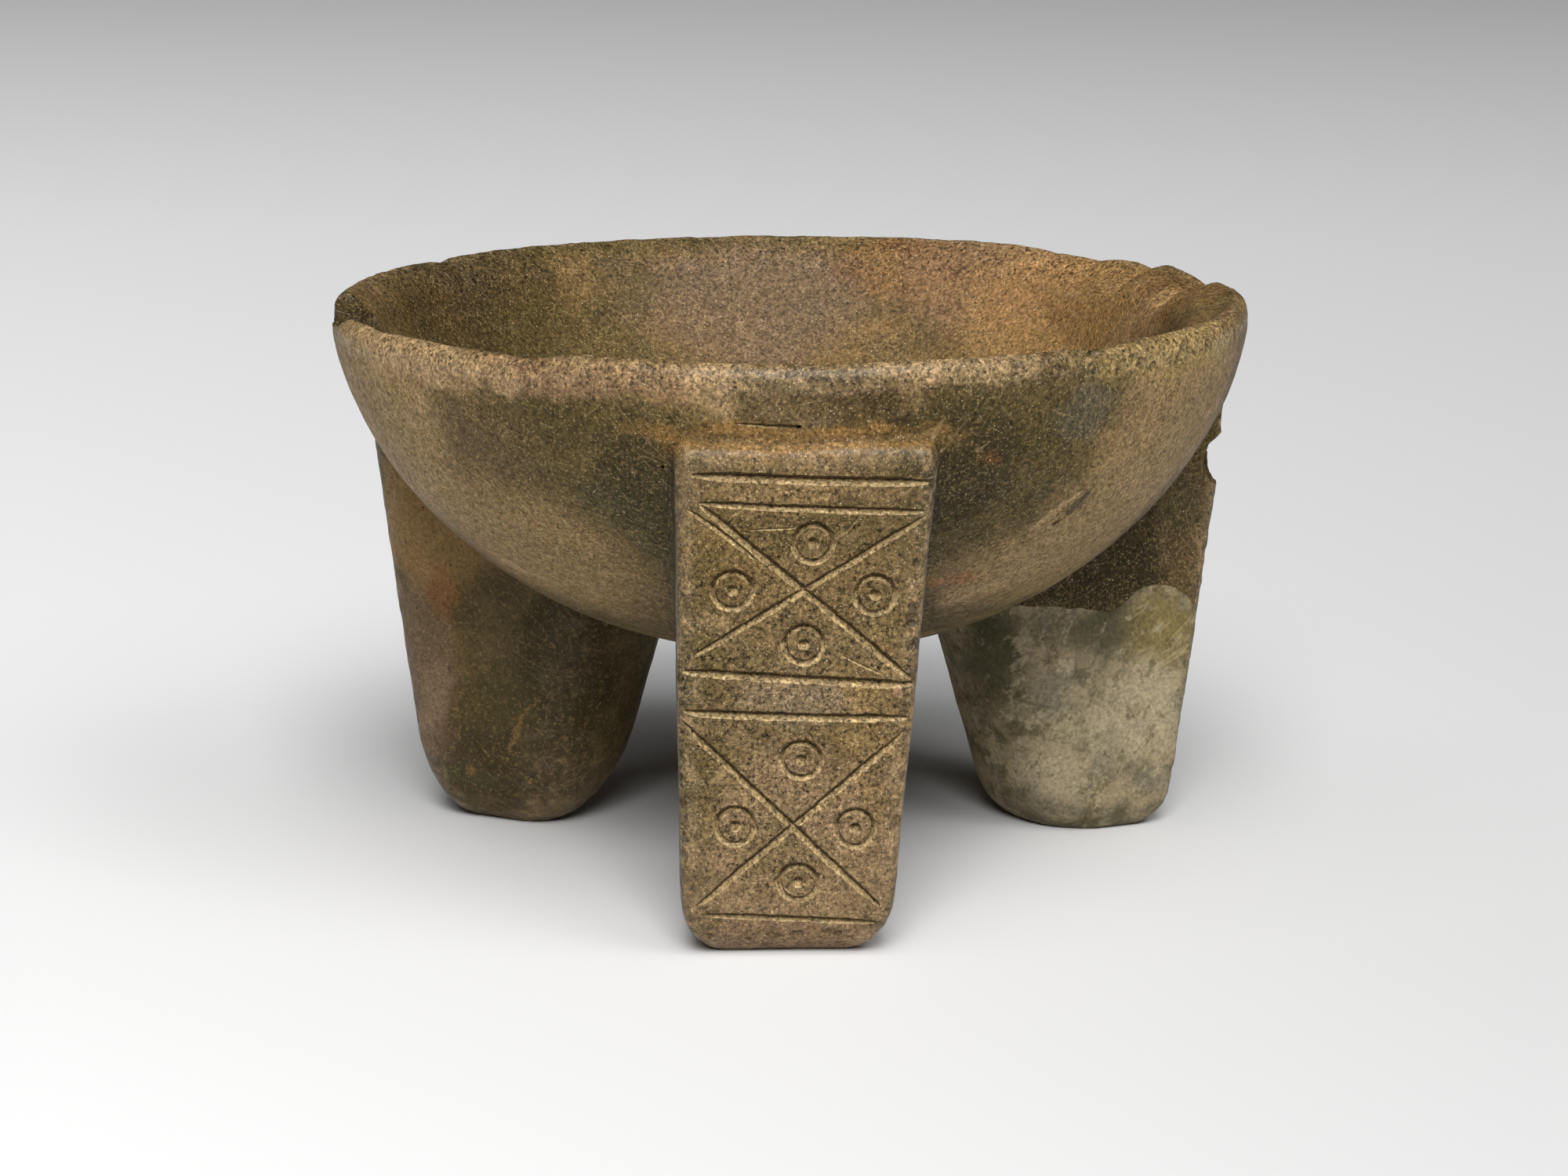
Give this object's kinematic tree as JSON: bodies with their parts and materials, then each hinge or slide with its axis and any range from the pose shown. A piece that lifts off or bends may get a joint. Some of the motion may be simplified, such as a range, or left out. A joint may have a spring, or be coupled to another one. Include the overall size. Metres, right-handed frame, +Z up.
{
  "type": "stone tripod bowl",
  "caption": "Round stone bowl on carved legs whose flat outer faces bear sawn lines and drilled rings, for holding or grinding food.",
  "frame": {"origin": "on the floor, under the middle of the bowl", "axes": "+Z up through the bowl's middle, -Y towards the front leg, +X towards the mended leg's side"},
  "size_m": [0.15, 0.15, 0.094],
  "materials": {
    "stone": "ground smooth and satin, olive brown with rust and tan mottling, paler where it is worn",
    "dark_stone": "ground smooth and satin, dark olive brown",
    "mended_stone": "matt, pale olive grey with brush-like streaks"
  },
  "bodies": {
    "root": {"bowl": "stone", "front_leg": "stone", "left_leg": "dark_stone", "right_leg": "dark_stone", "right_leg_foot": "mended_stone"}
  },
  "joints": []
}
